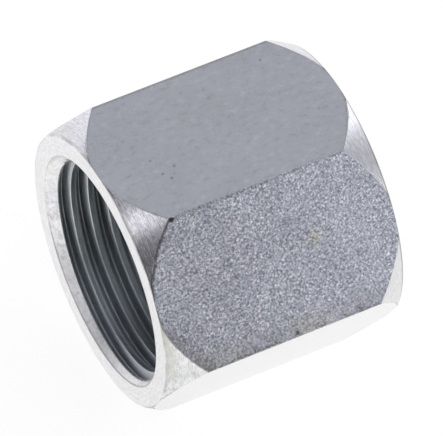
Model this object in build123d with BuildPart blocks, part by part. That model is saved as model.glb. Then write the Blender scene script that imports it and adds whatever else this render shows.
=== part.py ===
from build123d import *
from build123d.topology import SkipClean
import os
from math import ceil, cos, radians, tan

# Hydraulic end cap turned from hexagon bar: threaded inside from the mouth, closed at the far end,
# with a conical seat at the bottom of the bore.
# X runs along the bore, with the mouth at -X. Z is up, and the cap lies on one flat at z = 0.
# All sizes are in mm and degrees.

# Hexagon bar
across_flats = 31.75
overall_length = 29.2
bar_edge_radius = 0.35

# Turned ends, the same at the mouth and at the closed end
end_chamfer_height = 2.391
end_chamfer_angle = 31.0
end_edge_break = 0.15
turning_clearance = 0.5

# Thread, right hand, with 60 degrees between its flanks
wall_at_flats = 2.375
thread_height = 1.05
thread_pitch = 2.117
thread_root_flat = 0.28
flank_angle = 30.0
first_groove_depth = 0.375

# Bore, from the mouth inwards
countersink_clearance = 0.05
countersink_angle = 45.0
thread_depth = 13.0
relief_width = 2.6
relief_clearance = 0.15
relief_ramp_angle = 45.0
seat_angle = 37.0
seat_shoulder = 0.65
seat_rise = 4.4
seat_floor_depth = 1.0

mouth_x = -overall_length / 2
bore_z = across_flats / 2
corner_radius = across_flats / 2 / cos(radians(30))
end_face_radius = corner_radius - end_chamfer_height

thread_major_radius = across_flats / 2 - wall_at_flats
thread_crest_radius = thread_major_radius - thread_height
countersink_radius = thread_major_radius + countersink_clearance
countersink_depth = (countersink_radius - thread_crest_radius) / tan(radians(countersink_angle))
relief_radius = thread_major_radius + relief_clearance
relief_ramp = (relief_radius - thread_crest_radius) / tan(radians(relief_ramp_angle))
relief_depth = thread_depth + relief_width
seat_mouth_radius = thread_crest_radius - seat_shoulder
seat_floor_radius = seat_mouth_radius - seat_rise
seat_depth = relief_depth + seat_rise / tan(radians(seat_angle))
floor_depth = seat_depth + seat_floor_depth

bar_plane = Plane(origin=(mouth_x, 0, bore_z), x_dir=(0, 1, 0), z_dir=(1, 0, 0))
bore_plane = Plane(origin=(mouth_x, 0, bore_z), x_dir=(1, 0, 0), z_dir=(0, 0, 1))
bore_axis = Axis((0, 0, bore_z), (1, 0, 0))

# One piece of the thread's groove, about a turn long, along X from the origin. It reaches a little
# inside the crest, so that it cuts the bore's wall cleanly.
groove_reach = 0.3
groove_half_width = thread_root_flat / 2 + (thread_height + groove_reach) * tan(radians(flank_angle))
groove_start = first_groove_depth - thread_pitch * ceil((first_groove_depth + groove_half_width) / thread_pitch)
groove_run = relief_depth - groove_half_width - relief_clearance - groove_start
groove_pieces = ceil(groove_run / thread_pitch)
piece_run = groove_run / groove_pieces
piece_twist = 360 * piece_run / thread_pitch

with BuildPart() as groove_piece:
    with BuildLine() as turn:
        Helix(thread_pitch, piece_run, thread_crest_radius, direction=(1, 0, 0))
    with BuildSketch(Plane(origin=turn.line @ 0, x_dir=(1, 0, 0), z_dir=(0, -1, 0))):
        with BuildLine():
            Polyline(
                (-groove_half_width, -groove_reach),
                (groove_half_width, -groove_reach),
                (thread_root_flat / 2, thread_height),
                (-thread_root_flat / 2, thread_height),
                close=True,
            )
        make_face()
    sweep(path=turn.line, is_frenet=True)

with BuildPart() as end_cap:
    # Length of hexagon bar, with a flat below and a flat above
    with BuildSketch(bar_plane):
        RegularPolygon(across_flats / 2, 6, major_radius=False)
        fillet(vertices(), bar_edge_radius)
    extrude(amount=overall_length)

    # Both ends turned to a cone that leaves an arc on each flat
    turned_radius = corner_radius + turning_clearance
    chamfer_run = (turned_radius - end_face_radius) / tan(radians(end_chamfer_angle))
    with BuildSketch(bore_plane):
        with BuildLine():
            Polyline(
                (0, 0),
                (0, end_face_radius),
                (chamfer_run, turned_radius),
                (overall_length - chamfer_run, turned_radius),
                (overall_length, end_face_radius),
                (overall_length, 0),
                close=True,
            )
        make_face()
        chamfer(vertices().group_by(Axis.Y)[1], end_edge_break)
    revolve(axis=bore_axis, mode=Mode.INTERSECT)

    # Bore: countersink, crest of the thread, relief groove, conical seat and floor
    with BuildSketch(bore_plane) as bore_section:
        with BuildLine():
            Polyline(
                (0, 0),
                (0, countersink_radius),
                (countersink_depth, thread_crest_radius),
                (thread_depth, thread_crest_radius),
                (thread_depth + relief_ramp, relief_radius),
                (relief_depth, relief_radius),
                (relief_depth, seat_mouth_radius),
                (seat_depth, seat_floor_radius),
                (floor_depth, seat_floor_radius),
                (floor_depth, 0),
                close=True,
            )
        make_face()

    # The wall is bored as two halves that stay apart, then the groove is cut piece by piece
    with SkipClean():
        for half in (180, -180):
            revolve(bore_section.sketch, axis=bore_axis, revolution_arc=half, mode=Mode.SUBTRACT)
        for piece in range(groove_pieces):
            groove_x = mouth_x + groove_start + piece * piece_run
            with Locations(Location((groove_x, 0, bore_z), (piece * piece_twist, 0, 0))):
                add(groove_piece.part, mode=Mode.SUBTRACT)

end_cap.part.label = "end_cap"

os.makedirs("parts", exist_ok=True)
export_step(end_cap.part, "parts/end_cap.step")
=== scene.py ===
import math

import bmesh
import bpy
import numpy as np
from mathutils import Matrix, Vector


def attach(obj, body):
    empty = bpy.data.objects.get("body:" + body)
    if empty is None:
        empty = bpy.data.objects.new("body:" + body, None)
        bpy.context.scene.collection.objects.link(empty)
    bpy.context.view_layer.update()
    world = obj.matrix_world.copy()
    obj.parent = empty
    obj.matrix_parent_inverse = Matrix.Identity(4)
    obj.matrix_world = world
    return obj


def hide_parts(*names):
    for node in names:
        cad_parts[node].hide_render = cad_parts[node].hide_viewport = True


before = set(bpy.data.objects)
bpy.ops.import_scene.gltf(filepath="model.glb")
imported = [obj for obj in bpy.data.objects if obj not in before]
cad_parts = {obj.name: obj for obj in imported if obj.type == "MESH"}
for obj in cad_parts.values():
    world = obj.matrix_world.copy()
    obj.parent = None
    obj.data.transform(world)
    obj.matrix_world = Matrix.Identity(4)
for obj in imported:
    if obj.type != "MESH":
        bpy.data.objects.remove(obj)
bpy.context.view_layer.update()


# Camera
# A long lens looks down into the mouth and along the bar, from the side of the two flats that show.
# Its place and roll are those at which the hexagon's corners and both turned arcs fall as they do
# in the photograph. The aim and the distance are in widths of the bar across its flats.
mm = 0.001
across_flats = 31.75
bore_height = across_flats / 2

azimuth, elevation, roll = math.radians(-27.0491), math.radians(48.8263), math.radians(-0.385)
aim_right, aim_up, camera_distance = 0.012, 0.0254, 30
image_width, focal_pixels, sensor_width = 443, 8659.04, 36

to_camera = Vector((
    math.sin(azimuth) * math.cos(elevation),
    -math.cos(azimuth) * math.cos(elevation),
    math.sin(elevation),
))
level = Vector((math.cos(azimuth), math.sin(azimuth), 0))
upright = to_camera.cross(level)
right = level * math.cos(roll) + upright * math.sin(roll)
up = upright * math.cos(roll) - level * math.sin(roll)
aim = Vector((0, 0, bore_height)) + across_flats * (aim_right * right + aim_up * up)
camera = bpy.data.objects.new("camera", bpy.data.cameras.new("camera"))
camera.data.sensor_width = sensor_width
camera.data.lens = sensor_width * focal_pixels / image_width
camera.data.clip_start, camera.data.clip_end = 0.05, 20
camera.matrix_world = Matrix.Translation((aim + camera_distance * across_flats * to_camera) * mm) @ Matrix(
    (right, up, to_camera)
).transposed().to_4x4()
bpy.context.collection.objects.link(camera)
bpy.context.scene.camera = camera


# Cap's outside
# The cap is cut from bright-drawn hexagon bar, so its six sides are the bar's own flats with barely
# rounded corners. Both ends are turned to a cone that leaves an arc on each flat, and faced square.
# The far end is closed. Lengths are in millimetres from the mouth inwards, radii from the bore's axis.
length = 29.2
bar_corner_round = 0.35
end_face_radius = 15.94
cone_angle = math.radians(31)
end_round = 0.25
arc_break = 0.05

# Angles of the skin's columns, closest together beside the hexagon's corners.
half_side = math.pi / 6
half_side_angles = np.concatenate([[0, 0.14, 0.28, 0.42, 0.55, 0.64, 0.85, 1.25], np.linspace(2, 30, 20)])
side_angles = np.concatenate([half_side_angles, 60 - half_side_angles[-2:0:-1]])
angles = np.radians(np.concatenate([side_angles + 60 * side for side in range(6)] + [[360]]))

# Radius of the bar at each angle, over the small rounds of its corners and the flats between them.
from_corner = np.abs((angles + half_side) % (2 * half_side) - half_side)
round_centre = (across_flats / 2 - bar_corner_round) / math.cos(half_side)
on_round = from_corner < math.atan2(
    bar_corner_round / 2, round_centre + bar_corner_round * math.cos(half_side)
)
bar_radius = np.where(
    on_round,
    round_centre * np.cos(from_corner)
    + np.sqrt(np.maximum(bar_corner_round**2 - (round_centre * np.sin(from_corner)) ** 2, 0)),
    across_flats / 2 / np.cos(half_side - from_corner),
)

# The round between the end face and the cone, and the cone's two ends.
end_tangent = end_round * math.tan((math.pi / 2 - cone_angle) / 2)
round_inner = end_face_radius - end_tangent
cone_start = end_face_radius + end_tangent * math.sin(cone_angle)
cone_end = np.maximum(bar_radius, cone_start)
round_turn = np.arcsin(np.clip((bar_radius - round_inner) / end_round, 0, math.cos(cone_angle)))


def turned_end():
    """Depth and radius of each row from the end face's edge over the round and the cone to the flat."""
    rows = []
    for share in np.linspace(0, 1, 6):
        turn = np.minimum(share * (math.pi / 2 - cone_angle), round_turn)
        rows.append((end_round * (1 - np.cos(turn)), round_inner + end_round * np.sin(turn)))
    round_depth, round_radius = rows[-1]
    slope = math.tan(cone_angle)
    run = (cone_end - cone_start) / slope
    broken = np.minimum(arc_break, run)
    down_cone = [run * share for share in (0.02, 0.1, 0.25, 0.45, 0.65, 0.82, 0.94)]
    down_cone += [run - broken * 1.6, run - broken]
    rows += [(round_depth + depth, round_radius + depth * slope) for depth in down_cone]
    on_flat = round_depth + run + broken
    return rows + [(on_flat, bar_radius), (on_flat + arc_break * 0.6, bar_radius)]


def ring(depth, radius):
    """One row of the skin at a depth and radius, either of which may change round the cap."""
    return np.broadcast_to(depth, angles.shape) * 1.0, np.broadcast_to(radius, angles.shape) * 1.0


# Rows of the skin from the middle of the closed end to the mouth. The last two rows of a turned end lie
# on the flat, and the faces between them are the first of the flat's.
face_edge = round_inner - 0.05
turned = turned_end()
flat_start, flat_end = length - turned[-1][0], turned[-1][0]
skin = [ring(length, radius) for radius in (0, 1.5, 4, 7, 10, 13, 15.2, face_edge)]
skin += [(length - depth, radius) for depth, radius in turned]
first_flat = len(skin) - 2
skin += [(flat_start + (flat_end - flat_start) * share, bar_radius) for share in np.linspace(0.03, 0.97, 13)]
last_flat = len(skin) + 1
skin += turned[::-1]


# Cap's bore
# From the mouth inwards the bore has a countersink, a right-hand thread, a relief groove and a conical
# seat with a flat floor. It is turned and threaded on the lathe, which leaves the thread's crests
# a little rounded and its ends running out in the countersink and the relief.
thread_major, thread_crest, pitch = 13.5, 12.45, 2.117
root_half, flank = 0.14, math.radians(30)
crest_round, root_round, past_round = 0.1, 0.13, 0.11
top_groove_depth = 0.375
thread_end = 13.0
countersink_radius = 13.55
relief_radius, relief_end = 13.65, 15.6
seat_mouth, seat_floor, seat_angle = 11.8, 7.4, math.radians(37)
floor_below_seat = 1.0
lip_break, wall_start = 0.012, 0.06

groove_half = root_half + (thread_major - thread_crest) * math.tan(flank)
countersink_end = countersink_radius - thread_crest
ramp_end = thread_end + relief_radius - thread_crest
seat_end = relief_end + (seat_mouth - seat_floor) / math.tan(seat_angle)
floor_depth = seat_end + floor_below_seat


def rounded(corner, toward, away, radius):
    """Four points of a small arc that replaces a 120-degree corner of the thread's section."""
    reach = radius * math.tan(math.radians(30))
    start = corner + reach * toward
    end = corner + reach * away
    centre = corner + (toward + away) * reach / (1 + toward @ away)
    points = []
    for share in (0, 1 / 3, 2 / 3, 1):
        spoke = (start - centre) * (1 - share) + (end - centre) * share
        points.append(centre + spoke / np.linalg.norm(spoke) * radius)
    return points


# Section of one groove, as places along the bore from the groove's middle and the radii there.
down_flank = np.array([math.sin(flank), -math.cos(flank)])
root_corner = np.array([root_half, thread_major])
crest_corner = np.array([groove_half, thread_crest])
half_groove = [np.array([0, thread_major])]
half_groove += rounded(root_corner, np.array([-1.0, 0]), down_flank, root_round)
half_groove += [root_corner * 0.5 + crest_corner * 0.5]
half_groove += rounded(crest_corner, -down_flank, np.array([1.0, 0]), crest_round)
half_groove += [np.array([groove_half + past_round, thread_crest]), np.array([pitch / 2, thread_crest])]
half_groove = np.array(half_groove)
groove_places = np.concatenate([-half_groove[:0:-1, 0], half_groove[:, 0]])
groove_radii = np.concatenate([half_groove[:0:-1, 1], half_groove[:, 1]])


def groove_centre(number):
    """Depth of a groove's middle at each angle; it moves one pitch inwards in each turn."""
    return top_groove_depth + pitch * ((angles - math.pi / 2) / (2 * math.pi) + number)


def thread_radius(depth):
    """Radius of the threaded wall, with the countersink and the relief's ramp turned into it."""
    place = (depth - groove_centre(0) + pitch / 2) % pitch - pitch / 2
    wall = np.interp(place, groove_places, groove_radii)
    wall = np.maximum(wall, countersink_radius - depth)
    return np.maximum(wall, np.minimum(thread_crest + depth - thread_end, relief_radius))


# Depths of the wall's rows: each groove's section, and where the countersink's cone and the relief's ramp
# cut the groove's two flanks and the crest after it.
steep = 1 / math.tan(flank)
wall_depths = []
for number in range(-1, 8):
    middle = groove_centre(number)
    near_crest, near_root = middle - groove_half, middle - root_half
    far_root, far_crest = middle + root_half, middle + groove_half
    wall_depths += [middle + place for place in groove_places[1:]]
    for depth, start, end in (
        ((countersink_radius - thread_crest + steep * near_crest) / (steep + 1), near_crest, near_root),
        ((thread_major - countersink_radius + steep * far_root) / (steep - 1), far_root, far_crest),
        (countersink_end, far_crest, near_crest + pitch),
        (thread_end, far_crest, near_crest + pitch),
        ((thread_crest - thread_end - thread_major - steep * far_root) / (-steep - 1), far_root, far_crest),
        ((steep * near_crest - thread_end) / (steep - 1), near_crest, near_root),
    ):
        wall_depths.append(np.clip(depth, start, end))
wall_depths = np.clip(np.sort(np.array(wall_depths), axis=0), wall_start, ramp_end)

# Rows of the skin from the mouth to the middle of the floor. Close pairs of rows keep the edges crisp.
lip = np.maximum(countersink_radius, thread_radius(0))
skin += [ring(0, radius) for radius in (face_edge, 15.2, 14.5, 14.0, 13.75, lip + 0.09, lip + 0.05)]
skin += [ring(lip_break, lip + lip_break)]
first_wall = len(skin)
skin += [(depth, thread_radius(depth)) for depth in wall_depths]
last_wall = len(skin)
skin += [
    ring(ramp_end + 0.06, relief_radius),
    ring(relief_end - 0.1, relief_radius),
    ring(relief_end - 0.03, relief_radius - 0.01),
    ring(relief_end, relief_radius - 0.06),
    ring(relief_end, seat_mouth + 0.08),
    ring(relief_end + 0.01, seat_mouth + 0.02),
]
for share in (0.02, 0.1, 0.35, 0.65, 0.9, 0.985):
    skin.append(ring(
        relief_end + (seat_end - relief_end) * share, seat_mouth + (seat_floor - seat_mouth) * share
    ))
skin += [
    ring(seat_end + 0.03, seat_floor),
    ring(seat_end + 0.12, seat_floor),
    ring(floor_depth - 0.12, seat_floor),
    ring(floor_depth - 0.03, seat_floor - 0.03),
]
skin += [ring(floor_depth, radius) for radius in (seat_floor - 0.12, 6, 4, 2, 0)]

depths = np.array([depth for depth, radius in skin])
radii = np.array([radius for depth, radius in skin])
points = np.stack(
    [depths - length / 2, radii * np.cos(angles), radii * np.sin(angles) + bore_height], axis=-1
)
index = np.arange(depths.size).reshape(depths.shape)
quads = np.stack([index[:-1, :-1], index[1:, :-1], index[1:, 1:], index[:-1, 1:]], axis=-1)

# Finish of each face. In the bore's wall, the countersink is turned and the relief is like the seat.
BAR, TURNED, THREAD, SEAT = range(4)
middle_depth = (depths[:-1, :-1] + depths[1:, 1:]) / 2
middle_radius = (radii[:-1, :-1] + radii[1:, 1:]) / 2
off_countersink = np.abs(countersink_radius - middle_depth - middle_radius) > 0.02
threaded = (middle_radius < thread_major + 0.1) & off_countersink
wall_rows = slice(first_wall - 1, last_wall)
finish_of = np.full(quads.shape[:2], TURNED)
finish_of[first_flat:last_flat] = BAR
finish_of[wall_rows][threaded[wall_rows]] = THREAD
finish_of[wall_rows][middle_depth[wall_rows] > thread_end + 1] = SEAT
finish_of[last_wall:] = SEAT

# The mesh is in metres. Welding closes its seam, where the angles meet, and its two middle points.
weld_distance, sliver_length = 2e-6, 1e-7
cap_mesh = bpy.data.meshes.new("end_cap_skin")
cap_mesh.from_pydata((points.reshape(-1, 3) * mm).tolist(), [], quads.reshape(-1, 4).tolist())
cap_mesh.polygons.foreach_set("material_index", finish_of.ravel().astype(np.int32))
cap_mesh.polygons.foreach_set("use_smooth", np.ones(len(cap_mesh.polygons), bool))
welded = bmesh.new()
welded.from_mesh(cap_mesh)
bmesh.ops.remove_doubles(welded, verts=welded.verts, dist=weld_distance)
bmesh.ops.dissolve_degenerate(welded, edges=welded.edges, dist=sliver_length)
welded.to_mesh(cap_mesh)
welded.free()
cap = bpy.data.objects.new("end_cap_skin", cap_mesh)
bpy.context.collection.objects.link(cap)
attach(cap, "root")
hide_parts("end_cap")


# Cap's drawn flats
# The whole cap is steel under thin bright zinc, which takes its look from what lies under it. The bar's
# drawn flats are a satin grey with a few pits, but for the front one, which has a coarse sparkling
# grain, and the one below that, which is painted near white as a painted reflection of the bright table.
class Feed:
    """A socket of a shader node. Sums and products of feeds and numbers add their own nodes."""

    def __init__(self, socket):
        self.socket = socket
        self.tree = socket.id_data

    @staticmethod
    def node(tree, kind, settings=None, sockets=None, output=0):
        """One output of a new node, which gets its settings first and then its values and links."""
        made = tree.nodes.new(kind)
        for name, value in (settings or {}).items():
            setattr(made, name, value)
        for key, value in (sockets or {}).items():
            if isinstance(value, Feed):
                tree.links.new(value.socket, made.inputs[key])
            else:
                made.inputs[key].default_value = value
        return Feed(made.outputs[output])

    def output(self, key):
        """Another output of the same node."""
        return Feed(self.socket.node.outputs[key])

    def math(self, operation, *others):
        """A Math node with this feed first and the others after it."""
        values = dict(enumerate((self, *others)))
        return Feed.node(self.tree, "ShaderNodeMath", {"operation": operation}, values)

    def reflected(self, operation, other):
        """A Math node with this feed after the other."""
        return Feed.node(self.tree, "ShaderNodeMath", {"operation": operation}, {0: other, 1: self})

    def __add__(self, other):
        return self.math("ADD", other)

    def __radd__(self, other):
        return self.math("ADD", other)

    def __sub__(self, other):
        return self.math("SUBTRACT", other)

    def __rsub__(self, other):
        return self.reflected("SUBTRACT", other)

    def __mul__(self, other):
        return self.math("MULTIPLY", other)

    def __rmul__(self, other):
        return self.math("MULTIPLY", other)

    def __truediv__(self, other):
        return self.math("DIVIDE", other)

    def __rtruediv__(self, other):
        return self.reflected("DIVIDE", other)

    def __neg__(self):
        return self.math("MULTIPLY", -1)

    def __abs__(self):
        return self.math("ABSOLUTE")

    def scaled(self, factor):
        """A vector or a colour times a number."""
        return Feed.node(
            self.tree, "ShaderNodeVectorMath", {"operation": "SCALE"}, {0: self, "Scale": factor}
        )

    def step(self, start, end):
        """0 up to start and 1 from end, with a soft change between them."""
        return Feed.node(
            self.tree,
            "ShaderNodeMapRange",
            {"interpolation_type": "SMOOTHSTEP"},
            {"Value": self, "From Min": start, "From Max": end},
        )


def blend(share, first, second):
    """A colour between two colours: the first where the share is 0, and the second where it is 1."""
    return Feed.node(share.tree, "ShaderNodeMix", {"data_type": "RGBA"}, {0: share, 6: first, 7: second}, 2)


def grey(level, red=1.0, green=1.0, blue=1.0):
    """A grey of this level, with a factor for each colour that tints it."""
    return (level * red, level * green, level * blue, 1)


class Finish:
    """The next of the cap's materials, in the order of its faces' finishes, with the places it follows."""

    def __init__(self, name):
        material = bpy.data.materials.new(name)
        material.use_nodes = True
        cap_mesh.materials.append(material)
        self.tree = material.node_tree
        self.shader = self.tree.nodes["Principled BSDF"]
        self.place = Feed.node(self.tree, "ShaderNodeTexCoord", output="Object").scaled(1 / mm)
        self.x = Feed.node(self.tree, "ShaderNodeSeparateXYZ", None, {0: self.place})
        self.y = self.x.output(1)
        self.z = self.x.output(2) - bore_height
        self.radius = (self.y * self.y + self.z * self.z).math("SQRT")
        self.depth = self.x + length / 2

    def vector(self, x, y, z):
        return Feed.node(self.tree, "ShaderNodeCombineXYZ", None, {0: x, 1: y, 2: z})

    def round_axis(self, turns, across):
        """Coordinates that draw a pattern out round the axis, into shorter pieces with more turns."""
        around = turns / self.radius
        return self.vector(self.y * around, self.z * around, across)

    def noise(self, vector, scale, detail=2.0, rough=0.5, swirl=0.0):
        return Feed.node(
            self.tree,
            "ShaderNodeTexNoise",
            None,
            {"Vector": vector, "Scale": scale, "Detail": detail, "Roughness": rough, "Distortion": swirl},
        )

    def turning_lines(self, turns, across):
        """Noise drawn out into the lines that a lathe tool leaves."""
        return self.noise(self.round_axis(turns, across), 1.0, detail=3, rough=0.6)

    def cells(self, vector, scale):
        """Distance to the nearest of many scattered points."""
        return Feed.node(self.tree, "ShaderNodeTexVoronoi", None, {"Vector": vector, "Scale": scale})

    def distance(self, point):
        return Feed.node(
            self.tree, "ShaderNodeVectorMath", {"operation": "DISTANCE"}, {0: self.place, 1: point}, "Value"
        )

    def bump(self, height, strength, rise):
        """A bump of the surface, where a height of 1 stands up by the rise."""
        return Feed.node(
            self.tree,
            "ShaderNodeBump",
            None,
            {"Height": height, "Strength": strength, "Distance": rise * mm},
        )

    def set(self, **values):
        for name, value in values.items():
            socket = self.shader.inputs[name.replace("_", " ")]
            if isinstance(value, Feed):
                self.tree.links.new(value.socket, socket)
            else:
                socket.default_value = value


# Noises and the side that several features of the flats share.
bar = Finish("bar_flat")
fine = bar.noise(bar.place, 4.5, detail=3, rough=0.6)
jitter = fine - 0.5
patch = bar.noise(bar.place, 0.9)
wander = bar.noise(bar.place, 1.7) * 0.3 - 0.15
front_side = (-bar.y).step(0, 1)

# Satin of the smooth flats, with faint clouds and with light and dark scuffs.
dull_satin, clear_satin, bright_satin = (
    grey(0.54, 0.965, 0.985, 1.06), grey(0.565, 0.975, 0.985, 1.075), grey(0.68, 0.97, 1, 1.05)
)
light_scuff, dark_scuff = grey(0.7, 0.98, 0.985, 1.04), grey(0.38, 1.0, 0.985, 1.02)
clouds = bar.noise(bar.place, 0.16, detail=3).step(0.35, 0.65)
scuffs = bar.noise(bar.vector(bar.x, bar.y * 1.6, bar.z * 1.6), 0.9, detail=4, rough=0.65)
satin = blend(clouds, dull_satin, clear_satin)
satin = blend(fine.step(0.3, 0.7) * 0.32, satin, bright_satin)
satin = blend(scuffs.step(0.52, 0.72) * 0.6, satin, light_scuff)
satin = blend((1 - scuffs.step(0.28, 0.46)) * 0.5, satin, dark_scuff)

# Small pits in the upper flat, each with its place and its size.
pits = (
    (-8.58, -0.73, 0.19), (-8.19, -3.05, 0.24), (-7.59, -4.01, 0.26), (-6.61, -2.57, 0.24),
    (8.79, 6.86, 0.2), (-3.24, -1.23, 0.11), (5.4, 3.1, 0.11), (11.2, -2.4, 0.12),
)
for x, y, size in pits:
    from_pit = ((bar.x - x) * (bar.x - x) + (bar.y - y) * (bar.y - y)).math("SQRT")
    pit = 1 - (from_pit + jitter * (size * 1.6)).step(size * 0.4, size * 1.1)
    satin = blend(pit * bar.z.step(0, 1) * 0.48, satin, grey(0.13, 1.1, 1, 0.92))

# Grain of the front flat, finer and stronger towards the closed end, in three greys.
dark_grain, middle_grain, light_grain = (
    grey(0.22, 0.95, 0.985, 1.15), grey(0.565, 0.96, 0.975, 1.125), grey(0.99, 0.99, 0.99, 1.01)
)
to_closed_end = bar.depth.step(14, 27)
coarse_grain = bar.noise(bar.place, 4.4, swirl=0.9)
fine_grain = bar.noise(bar.place, 6.2, swirl=0.9)
grain = coarse_grain + (fine_grain - coarse_grain) * to_closed_end * 0.7
specks = 1 - bar.cells(bar.place, 3.5)
sparkle = 0.5 + (grain * 0.8 + specks * 0.2 - 0.51) * (1.42 + to_closed_end * 0.3)
sparkle = 0.5 + (sparkle - 0.5) * (0.6 + patch * 0.8)
rough = blend(sparkle.step(0.22, 0.6), dark_grain, middle_grain)
rough = blend(sparkle.step(0.5, 0.75), rough, light_grain)

# Ochre tinge of the front flat: scattered, in one spot half way up, and along its foot.
dark_ochre, light_ochre = grey(0.27, 1.0, 0.98, 0.88), grey(0.82, 1.0, 0.99, 0.9)
ochre_spot_place = (5.05, -13.23, 24.71)
ochre = bar.noise(bar.vector(bar.x + 40, bar.y, bar.z), 1.1, detail=4, rough=0.7).step(0.55, 0.75) * 0.6
ochre_spot = 1 - (bar.distance(ochre_spot_place) + (patch - 0.5) * 1.5).step(0.3, 1.4)
ochre_foot = bar.x.step(-1, 1) * (1 - bar.x.step(2.5, 6)) + (1 - bar.x.step(-8, -4)) * 0.6
ochre_foot = ochre_foot * (1 - bar.z.step(0.5, 3)) * 0.6
ochre = ochre.math("MAXIMUM", ochre_spot).math("MAXIMUM", ochre_foot)
rough = blend(ochre * 0.8, rough, blend(sparkle.step(0.3, 0.65), dark_ochre, light_ochre))

# The front flat is painted a little dimmer towards the mouth, as painted shade.
shade = bar.depth.step(0, 30) * 0.38 + bar.noise(bar.place, 0.2) * 0.5
rough = rough.scaled(1 - (0.62 - shade).math("MAXIMUM", 0) * 0.62)

# The three kinds of flat meet along ragged corners.
front = bar.y * -math.cos(half_side) + bar.z * math.sin(half_side)
off_front = (across_flats / 2 - front + wander + jitter * 1.4).step(0.13, 0.2)
low_side = (-bar.z - wander - jitter * 2).step(-0.1, 0.1) * front_side
on_front = (1 - off_front) * (1 - low_side)
bar_colour = blend(off_front, rough, satin)
# The lower flat is painted near white, a painted reflection of the bright table.
bar_colour = blend(low_side * off_front, bar_colour, grey(0.99, 1, 1, 1))

# Dirt on the front flat: a smudge at the foot of its arc by the mouth, and specks along its lower corner.
bar_end_gap = bar.depth.math("MINIMUM", length - bar.depth)
arc_gap = bar_end_gap * math.tan(cone_angle) + end_face_radius - bar.radius
by_mouth = 1 - bar.depth.step(8, 14)
foot = (1 - bar.z.step(3.5, 7)) * on_front
smudge = (1 - (arc_gap + wander * 3).step(0.1, 1.5)) * foot * by_mouth
above_corner = bar.z + wander + jitter * 2
corner_specks = (1 - above_corner.step(0.3, 2.8)) * (grain + patch * 0.4).step(0.64, 0.8) * (1 - off_front)
bar_colour = blend(smudge * (0.2 + fine * 0.6), bar_colour, grey(0.14, 1.08, 1, 0.94))
bar_colour = blend(corner_specks * (1 - low_side) * 0.45, bar_colour, grey(0.14, 1.1, 1.02, 0.85))

# Dark lines along the lower front corner and the upper back corner, and painted shadow along the arcs of the
# turned ends.
corner_radius = across_flats / 2 / math.cos(half_side)
corner_line = above_corner.step(-0.12, 0.0) * (1 - above_corner.step(0.1, 0.3))
corner_line = corner_line * (0.15 + patch.step(0.38, 0.6) * 0.85) * front_side
back_line = 1 - ((corner_radius - bar.radius) + jitter * 0.3).step(0.07, 0.24)
back_line = back_line * bar.y.step(4, 6) * bar.z.step(10, 12)
wide_arc_shade = on_front * by_mouth * bar.z.step(2, 9)
arc_shade_line = 1 - (arc_gap + jitter * 0.2).step(0.02, 0.16 + wide_arc_shade * 0.08)
arc_shade_line = arc_shade_line * (1 - bar.depth.step(12, 18) * on_front * 0.8) * (1 - bar.y.step(-6, 4) * 0.4)
arc_share = (0.35 + 0.6 * on_front) * (0.12 + bar.z.step(2, 10) * 0.88)
bar_colour = blend(corner_line * 0.8, bar_colour, grey(0.1, 1.12, 1, 0.87))
bar_colour = blend(back_line * 0.4, bar_colour, grey(0.15, 1.1, 1, 0.85))
bar_colour = blend(arc_shade_line * (1 - low_side) * arc_share, bar_colour, grey(0.05, 1.08, 1, 0.95))

# Two dents, at the mouth's end of the upper corner and half way along the lower one.
upper_dent_place, lower_dent_place = (-10.3, -9.3, 31.65), (0.4, -18.0, 16.3)
upper_dent = 1 - (bar.distance(upper_dent_place) + jitter * 0.4).step(0.2, 0.42)
lower_dent = 1 - (bar.distance(lower_dent_place) + jitter * 0.4).step(0.12, 0.38)
bar_colour = blend(upper_dent * 0.95, bar_colour, grey(0.04, 1.1, 1, 0.95))
bar_colour = blend(lower_dent * 0.8, bar_colour, grey(0.06, 1.1, 1, 0.9))
bar.set(
    Base_Color=bar_colour,
    Metallic=1.0,
    Roughness=0.42 - fine * 0.05,
    Normal=bar.bump(sparkle * on_front + fine * 0.12, strength=0.7, rise=0.06),
)


# Cap's turned ends
# The cones, the end faces and the countersink are turned before plating, which leaves short broken lines
# round the axis under the zinc. The cones are brighter than the flats, and a painted shadow darkens the
# mouth's cone along the front flat's arc.
ends = Finish("turned_steel")
across_lines = ends.radius + ends.depth * 1.7
short_lines = ends.turning_lines(19.0, across_lines * 4.5)
long_lines = ends.turning_lines(4.0, across_lines * 7)
face_rings = ends.noise(ends.vector(ends.depth, 0.0, ends.radius * 5), 1.0, detail=4, rough=0.7)
lines = short_lines * 0.72 + long_lines * 0.28
lines = lines + (face_rings - lines) * (ends.depth - length + 0.12).step(0, 0.1) * 0.6
cloud = ends.noise(ends.place, 0.35, detail=3)
blotch = ends.noise(ends.place, 1.5, detail=3, rough=0.6)

# Where each part of the turned surface lies. The countersink differs from the end face in its lower half.
mouth_end = 1 - ends.depth.step(12, 17)
on_cone = (ends.radius + ends.depth * 0.01).step(end_face_radius - 0.1, end_face_radius + 0.15)
in_countersink = (countersink_radius - ends.radius + 0.02).step(0.0, 0.05) * mouth_end
in_countersink = in_countersink * (1 - ends.z.step(-4, 4))
countersink_side = in_countersink * ends.z.step(-10, -6.5)
high = ends.z.step(6, 10)
far_side = ends.y.step(-2, 5).math("MAXIMUM", 1 - mouth_end)
near_side = (-ends.y).step(0, 3)

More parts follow.
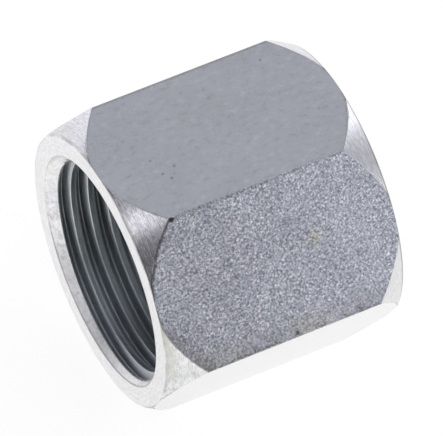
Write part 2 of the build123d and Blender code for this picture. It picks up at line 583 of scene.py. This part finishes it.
# The lines' dark and light greys, on the cones and off them.
cone_dark = blend(far_side, grey(0.5, 1, 0.975, 1.09), grey(0.58, 1, 0.98, 1.06))
cone_dark = blend(high, grey(0.64, 0.99, 1.0, 0.985), cone_dark)
cone_light = blend(far_side, grey(0.965, 0.995, 0.985, 1.035), grey(0.9, 0.995, 0.985, 1.03))
cone_light = blend(high, grey(0.86, 0.995, 1, 0.985), cone_light)
face_dark = blend(countersink_side, grey(0.76, 1.0, 0.985, 1.0), grey(0.6, 0.985, 0.98, 1.03))
dark_line = blend(on_cone, face_dark, cone_dark)
light_line = blend(on_cone, grey(0.91, 1.0, 0.99, 0.99), cone_light)
line_share = 0.5 + (lines.step(0.34, 0.64) - 0.5) * (0.6 + mouth_end * 0.4)
end_colour = blend(line_share, dark_line, light_line)

# Deeper dashes left by the tool, and light and dark blotches of the zinc.
dashes = 1 - ends.cells(ends.round_axis(9.0, across_lines * 3), 1.0).step(0.08, 0.34)
dashes = dashes * (0.3 + 0.7 * on_cone) * (0.2 + mouth_end * 0.8)
blotched = on_cone * (1 - far_side * 0.7) + in_countersink * 0.9
end_colour = blend(dashes * 0.35, end_colour, grey(0.3, 1, 0.98, 1.04))
end_colour = blend(blotch.step(0.5, 0.66) * blotched * 0.5, end_colour, grey(0.98, 1.0, 1.0, 1.02))
end_colour = blend((1 - blotch.step(0.32, 0.46)) * blotched * 0.35, end_colour, grey(0.4, 0.99, 0.99, 1.0))

# Painted shadow along the front flat's arc, dull clouds, and dirt in the lip of the countersink.
flat_gap = across_flats / 2 + ends.y * math.cos(half_side) - ends.z * math.sin(half_side)
cone_arc_shade = (1 - (flat_gap + (blotch - 0.5) * 0.1).step(0.03, 0.12)) * ends.depth.step(0.02, 0.1)
cone_arc_shade = cone_arc_shade * (-ends.y).step(0, 2) * ends.z.step(-1, 1) * mouth_end
lip_line = 1 - abs(ends.radius - countersink_radius + 0.06).step(0.03, 0.12)
lip_line = lip_line * ((1 - ends.z.step(-8, -1)) * (0.6 + cloud * 0.6) + ends.z.step(0, 12) * 0.9)
end_colour = blend(cone_arc_shade * 0.7, end_colour, grey(0.12, 1.12, 1, 0.88))
end_colour = blend(cloud.step(0.45, 0.75) * 0.3, end_colour, grey(0.7, 0.985, 0.985, 1.04))
end_colour = blend(lip_line * mouth_end * 0.7, end_colour, grey(0.3, 1.02, 1, 0.99))

# A dark line round each end face, and two yellowish stains beside it on the mouth's cone.
end_gap = ends.depth.math("MINIMUM", length - ends.depth)
edge_line = 1 - abs(ends.radius - end_face_radius).step(0.05, 0.22)
edge_line = edge_line * (1 - end_gap.step(0.4, 0.7))
edge_line = edge_line * cloud.step(0.35, 0.6).math("MAXIMUM", 1 - mouth_end)
low_stain = 1 - (ends.radius - end_face_radius - cloud * 1.6).step(-0.6, 0.2)
low_stain = low_stain * on_cone * (1 - high) * near_side * mouth_end * ends.z.step(-3, 2)
high_stain = 1 - (ends.radius - end_face_radius - blotch * 2.2).step(-0.7, 0.3)
high_stain = high_stain * on_cone * ends.z.step(4, 8) * ends.y.step(0, 3) * mouth_end
end_colour = blend(edge_line * (0.75 - mouth_end * 0.2), end_colour, grey(0.25, 1.1, 1, 0.9))
end_colour = blend(low_stain * 0.55, end_colour, grey(0.52, 1.04, 1, 0.9))
end_colour = blend(high_stain * 0.22, end_colour, grey(0.48, 1.02, 1, 0.95))
ends.set(
    Base_Color=end_colour,
    Metallic=1.0,
    Roughness=0.19 + lines * 0.12 + in_countersink * (1 - ends.z.step(-9, -4)) * 0.2,
    Normal=ends.bump(lines, strength=0.55, rise=0.05),
)


# Cap's thread
# The thread is cut on the lathe and keeps a film of dark oil in its grooves, which are painted darker
# still as painted shade. Its crests are burnished and painted lighter as a painted highlight, and its first
# crests at the mouth carry a painted highlight along their inner corner.
thread = Finish("thread_steel")
thread_lines = thread.turning_lines(3.0, thread.radius * 6).step(0.3, 0.7)
to_crest = (thread_major - thread.radius) / (thread_major - thread_crest)
top, bottom = thread.z.step(2, 10), 1 - thread.z.step(-12, -5)
dark_oil_and_shade, light_oil_and_shade = grey(0.27, 0.94, 0.99, 1.03), grey(0.42, 0.95, 1.0, 1.02)
dull_crest, bright_crest = grey(0.7, 0.94, 1.0, 1.0), grey(0.95, 0.96, 1.0, 1.02)
# The grooves are painted dark as painted shade, and painted near white towards the top of the bore and
# lighter towards its bottom as painted light.
oil_and_painted_light = blend(thread_lines, dark_oil_and_shade, light_oil_and_shade)
oil_and_painted_light = blend(thread.z.step(3, 10) * 0.9, oil_and_painted_light, grey(1, 0.95, 1, 0.99))
oil_and_painted_light = blend(bottom * 0.5, oil_and_painted_light, grey(0.6, 0.94, 0.98, 1.08))
# The crests are painted light as a painted highlight, and darker towards the bottom of the bore as painted
# shade.
burnish_and_highlight = blend(thread_lines, dull_crest, bright_crest)
burnish_and_highlight = blend(bottom * 0.85, burnish_and_highlight, grey(0.44, 0.94, 0.98, 1.08))
thread_colour = blend(to_crest.step(0.0, 1.1), oil_and_painted_light, burnish_and_highlight)

# A painted highlight along each crest's inner corner, which follows the helix, and the bright start of the
# thread at the mouth.
turn = thread.z.math("ARCTAN2", thread.y) / (2 * math.pi)
phase = ((thread.depth - top_groove_depth) / pitch - turn + 0.25).math("FRACT")
crest_highlight = 1 - abs(phase - 1 + groove_half / pitch + 0.02).step(0.03, 0.09)
crest_highlight = crest_highlight * (1 - thread.depth.step(2.5, 4.5))
thread_colour = blend(crest_highlight * 0.8, thread_colour, grey(1, 0.98, 1, 1))
thread_colour = blend(1 - thread.depth.step(0.5, 1.2), thread_colour, grey(0.85, 0.99, 1, 1))
thread.set(
    Base_Color=thread_colour,
    Metallic=1.0,
    Roughness=0.36 + thread_lines * 0.06 + top * 0.3,
    Normal=thread.bump(thread_lines, strength=0.2, rise=0.012),
)


# Cap's seat and floor
# The relief groove, the conical seat and the flat floor are turned smooth, with the zinc thin on them.
# They lie deep in the bore, and are painted darker than the ends as painted shade.
seat = Finish("seat_steel")
dark_seat, light_seat = grey(0.4, 0.95, 1.0, 1.0), grey(0.55, 0.96, 1.0, 1.0)
seat_lines = seat.turning_lines(3.0, (seat.radius - seat.depth) * 4)
seat.set(
    Base_Color=blend(seat_lines.step(0.3, 0.7), dark_seat, light_seat),
    Metallic=1.0,
    Roughness=0.28 + seat_lines * 0.1,
    Normal=seat.bump(seat_lines, strength=0.2, rise=0.02),
)


# Table and light
# A white table fades into a white surround. The metal takes its greys from a dimmer room with a few
# darker and lighter patches, which the camera itself doesn't see, and from one small soft lamp.
half_table = 3
table_corners = [(x * half_table, y * half_table, 0) for x, y in ((-1, -1), (1, -1), (1, 1), (-1, 1))]
table_mesh = bpy.data.meshes.new("floor")
table_mesh.from_pydata(table_corners, [], [(0, 1, 2, 3)])
table = bpy.data.objects.new("floor", table_mesh)
bpy.context.collection.objects.link(table)
table_paint = bpy.data.materials.new("white_table")
table_paint.use_nodes = True
table_tree = table_paint.node_tree
camera_ray = Feed.node(table_tree, "ShaderNodeLightPath", output="Is Camera Ray")
seen = camera_ray.math("MAXIMUM", camera_ray.output("Is Glossy Ray"))
paint = Feed.node(table_tree, "ShaderNodeBsdfDiffuse", None, {"Color": grey(0.8)})
dim_paint = Feed.node(table_tree, "ShaderNodeBsdfDiffuse", None, {"Color": grey(0.28)})
glow = Feed.node(table_tree, "ShaderNodeEmission", None, {"Color": grey(1), "Strength": seen * 0.85})
shown = Feed.node(table_tree, "ShaderNodeMixShader", None, {0: seen, 1: paint, 2: dim_paint})
surface = Feed.node(table_tree, "ShaderNodeAddShader", None, {0: shown, 1: glow})
table_tree.links.new(surface.socket, table_tree.nodes["Material Output"].inputs["Surface"])
table_mesh.materials.append(table_paint)

surround = bpy.data.worlds.new("surround")
surround.use_nodes = True
room_tree = surround.node_tree
straight = Feed.node(room_tree, "ShaderNodeLightPath", output="Is Camera Ray")
way = Feed.node(room_tree, "ShaderNodeTexCoord", output="Generated")


def facing(direction):
    """How far a direction of the surround lies towards this one, from -1 to 1."""
    return Feed.node(
        room_tree,
        "ShaderNodeVectorMath",
        {"operation": "DOT_PRODUCT"},
        {0: way, 1: Vector(direction).normalized()},
        "Value",
    )


# Each patch of the room has a direction, how near to it the patch begins and is full, and a brightness.
patches = (
    ((-0.6, -0.72, 0.35), 0.76, 0.96, 0.23),
    ((-0.69, -0.42, 0.6), 0.93, 0.985, 0.48),
    ((-0.62, 0.4, 0.68), 0.84, 0.96, 0.48),
    ((-0.75, 0.59, 0.3), 0.92, 0.985, 0.5),
    ((-0.3, 0.89, 0.33), 0.92, 0.99, 1.25),
    ((0.975, -0.03, 0.22), 0.945, 0.985, 0.58),
    ((0.92, 0.36, 0.25), 0.94, 0.99, 2.0),
)
height = Feed.node(room_tree, "ShaderNodeSeparateXYZ", None, {0: way}, 2)
room = 1.0 - height.step(0.0, 0.5) * 0.38
for direction, begins, full, brightness in patches:
    room = room * (1 - facing(direction).step(begins, full) * (1 - brightness))
strength = room * (1 - straight) + straight
tint = blend(straight, grey(1, 0.99, 1, 1.05), grey(1))
background = room_tree.nodes["Background"]
room_tree.links.new(strength.socket, background.inputs["Strength"])
room_tree.links.new(tint.socket, background.inputs["Color"])
bpy.context.scene.world = surround

lamp_way, lamp_distance = Vector((-0.7, -0.12, 0.7)), 0.3
lamp = bpy.data.objects.new("soft_lamp", bpy.data.lights.new("soft_lamp", "AREA"))
lamp.data.shape = "DISK"
lamp.data.size = 0.08
lamp.data.energy = 0.02
lamp.location = lamp_way * lamp_distance + Vector((0, 0, bore_height * mm))
lamp.rotation_mode = "QUATERNION"
lamp.rotation_quaternion = (-lamp_way).to_track_quat("-Z", "Y")
bpy.context.collection.objects.link(lamp)

bpy.context.scene.view_settings.view_transform = "Standard"
